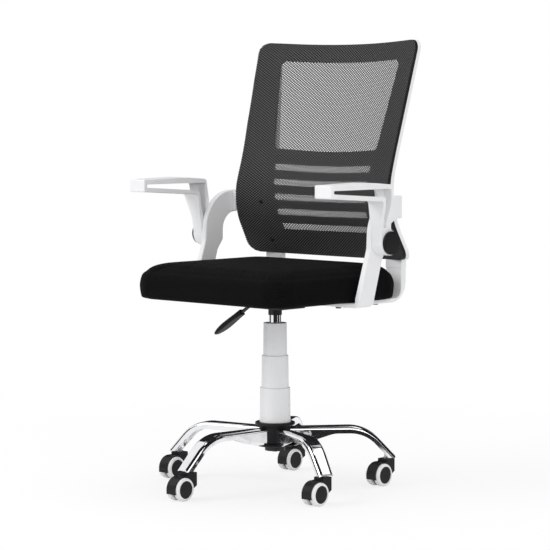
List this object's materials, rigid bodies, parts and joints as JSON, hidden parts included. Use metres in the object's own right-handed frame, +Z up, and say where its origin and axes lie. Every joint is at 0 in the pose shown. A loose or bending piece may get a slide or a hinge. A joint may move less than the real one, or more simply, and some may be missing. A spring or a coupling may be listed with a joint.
{
  "type": "office swivel chair",
  "caption": "Office swivel chair: star base on twin-wheel casters, gas lift with telescopic covers, padded seat, bent mesh back with slotted lumbar panel, flip-up loop arms.",
  "frame": {"origin": "on the floor under the column's axis", "axes": "+Z up, the chair faces -Y, +X is the sitter's left"},
  "size_m": [0.626, 0.583, 1.0226],
  "materials": {
    "black_plastic": "fine-grained black nylon",
    "white_plastic": "satin white polypropylene",
    "black_metal": "black powder coat",
    "steel": "plain turned steel",
    "chrome": "bright chrome plate",
    "tyre": "pale grey polyurethane",
    "seat_fabric": "black sandwich-mesh upholstery over foam",
    "back_fabric": "black open mesh"
  },
  "bodies": {
    "base": {"hub": "black_plastic", "leg_1": "chrome", "leg_2": "chrome", "leg_3": "chrome", "leg_4": "chrome", "leg_5": "chrome", "lift_tube": "black_metal", "lift_bush": "black_plastic", "cover_lower": "white_plastic"},
    "caster_1": {"caster_1_hood": "black_plastic", "caster_1_stem": "steel"},
    "wheels_1": {"caster_1_axle": "steel", "caster_1_wheels": "black_plastic", "caster_1_tyres": "tyre"},
    "caster_2": {"caster_2_hood": "black_plastic", "caster_2_stem": "steel"},
    "wheels_2": {"caster_2_axle": "steel", "caster_2_wheels": "black_plastic", "caster_2_tyres": "tyre"},
    "caster_3": {"caster_3_hood": "black_plastic", "caster_3_stem": "steel"},
    "wheels_3": {"caster_3_axle": "steel", "caster_3_wheels": "black_plastic", "caster_3_tyres": "tyre"},
    "caster_4": {"caster_4_hood": "black_plastic", "caster_4_stem": "steel"},
    "wheels_4": {"caster_4_axle": "steel", "caster_4_wheels": "black_plastic", "caster_4_tyres": "tyre"},
    "caster_5": {"caster_5_hood": "black_plastic", "caster_5_stem": "steel"},
    "wheels_5": {"caster_5_axle": "steel", "caster_5_wheels": "black_plastic", "caster_5_tyres": "tyre"},
    "lift_piston": {"lift_rod": "steel", "lift_bearing": "steel", "lift_clip": "steel"},
    "seat": {"lift_cylinder": "chrome", "swivel_plate": "black_metal", "lever_pin": "steel", "seat_board": "black_plastic", "seat_cushion": "seat_fabric", "seat_bolts": "black_metal", "side_support_left": "white_plastic", "side_support_right": "white_plastic", "arm_pins": "steel", "arm_caps": "black_plastic", "back_mesh": "back_fabric", "back_panel": "black_plastic", "back_frame": "white_plastic", "back_leg_left": "white_plastic", "back_leg_right": "white_plastic"},
    "middle_cover": {"cover_middle": "white_plastic"},
    "upper_cover": {"cover_upper": "white_plastic"},
    "release": {"release_pin": "steel"},
    "lever": {"lever_rod": "black_metal", "lever_grip": "black_plastic"},
    "left_arm": {"armrest_left": "white_plastic"},
    "right_arm": {"armrest_right": "white_plastic"}
  },
  "joints": [
    {"name": "caster_1_swivel", "type": "hinge", "parent": "base", "child": "caster_1", "pos_m": [-0.02212, -0.25805, 0.061], "axis": [0, 0, 1], "continuous": true},
    {"name": "caster_1_roll", "type": "hinge", "parent": "caster_1", "child": "wheels_1", "pos_m": [-0.02212, -0.28505, 0.026], "axis": [1, 0, 0], "continuous": true},
    {"name": "caster_2_swivel", "type": "hinge", "parent": "base", "child": "caster_2", "pos_m": [0.23859, -0.10078, 0.061], "axis": [0, 0, 1], "continuous": true},
    {"name": "caster_2_roll", "type": "hinge", "parent": "caster_2", "child": "wheels_2", "pos_m": [0.23859, -0.12778, 0.026], "axis": [1, 0, 0], "continuous": true},
    {"name": "caster_3_swivel", "type": "hinge", "parent": "base", "child": "caster_3", "pos_m": [0.16958, 0.19577, 0.061], "axis": [0, 0, 1], "continuous": true},
    {"name": "caster_3_roll", "type": "hinge", "parent": "caster_3", "child": "wheels_3", "pos_m": [0.16958, 0.16877, 0.026], "axis": [1, 0, 0], "continuous": true},
    {"name": "caster_4_swivel", "type": "hinge", "parent": "base", "child": "caster_4", "pos_m": [-0.13378, 0.22177, 0.061], "axis": [0, 0, 1], "continuous": true},
    {"name": "caster_4_roll", "type": "hinge", "parent": "caster_4", "child": "wheels_4", "pos_m": [-0.13378, 0.19477, 0.026], "axis": [1, 0, 0], "continuous": true},
    {"name": "caster_5_swivel", "type": "hinge", "parent": "base", "child": "caster_5", "pos_m": [-0.25226, -0.0587, 0.061], "axis": [0, 0, 1], "continuous": true},
    {"name": "caster_5_roll", "type": "hinge", "parent": "caster_5", "child": "wheels_5", "pos_m": [-0.25226, -0.0857, 0.026], "axis": [1, 0, 0], "continuous": true},
    {"name": "seat_swivel", "type": "hinge", "parent": "base", "child": "lift_piston", "pos_m": [0, 0, 0.3], "axis": [0, 0, 1], "continuous": true},
    {"name": "seat_lift", "type": "slide", "parent": "lift_piston", "child": "seat", "axis": [0, 0, 1], "range_m": [-0.09, 0]},
    {"name": "middle_cover_slide", "type": "slide", "parent": "base", "child": "middle_cover", "axis": [0, 0, 1], "range_m": [-0.038, 0]},
    {"name": "upper_cover_slide", "type": "slide", "parent": "base", "child": "upper_cover", "axis": [0, 0, 1], "range_m": [-0.076, 0]},
    {"name": "height_lever", "type": "hinge", "parent": "seat", "child": "lever", "pos_m": [-0.038, 0, 0.425], "axis": [0, 1, 0], "range_deg": [0, 4], "stiffness_Nm_per_rad": 12, "springref_deg": -2.86},
    {"name": "release_press", "type": "slide", "parent": "seat", "child": "release", "axis": [0, 0, 1], "range_m": [-0.0031, 0]},
    {"name": "left_arm_flip", "type": "hinge", "parent": "seat", "child": "left_arm", "pos_m": [0.28, 0.058, 0.57], "axis": [-1, 0, 0], "range_deg": [0, 90]},
    {"name": "right_arm_flip", "type": "hinge", "parent": "seat", "child": "right_arm", "pos_m": [-0.28, 0.058, 0.57], "axis": [-1, 0, 0], "range_deg": [0, 90]}
  ],
  "couplings": [
    {"joint": "middle_cover_slide", "follows": "seat_lift", "ratio": 0.42},
    {"joint": "upper_cover_slide", "follows": "seat_lift", "ratio": 0.84},
    {"joint": "release_press", "follows": "height_lever", "m_per_rad": -0.0425}
  ]
}
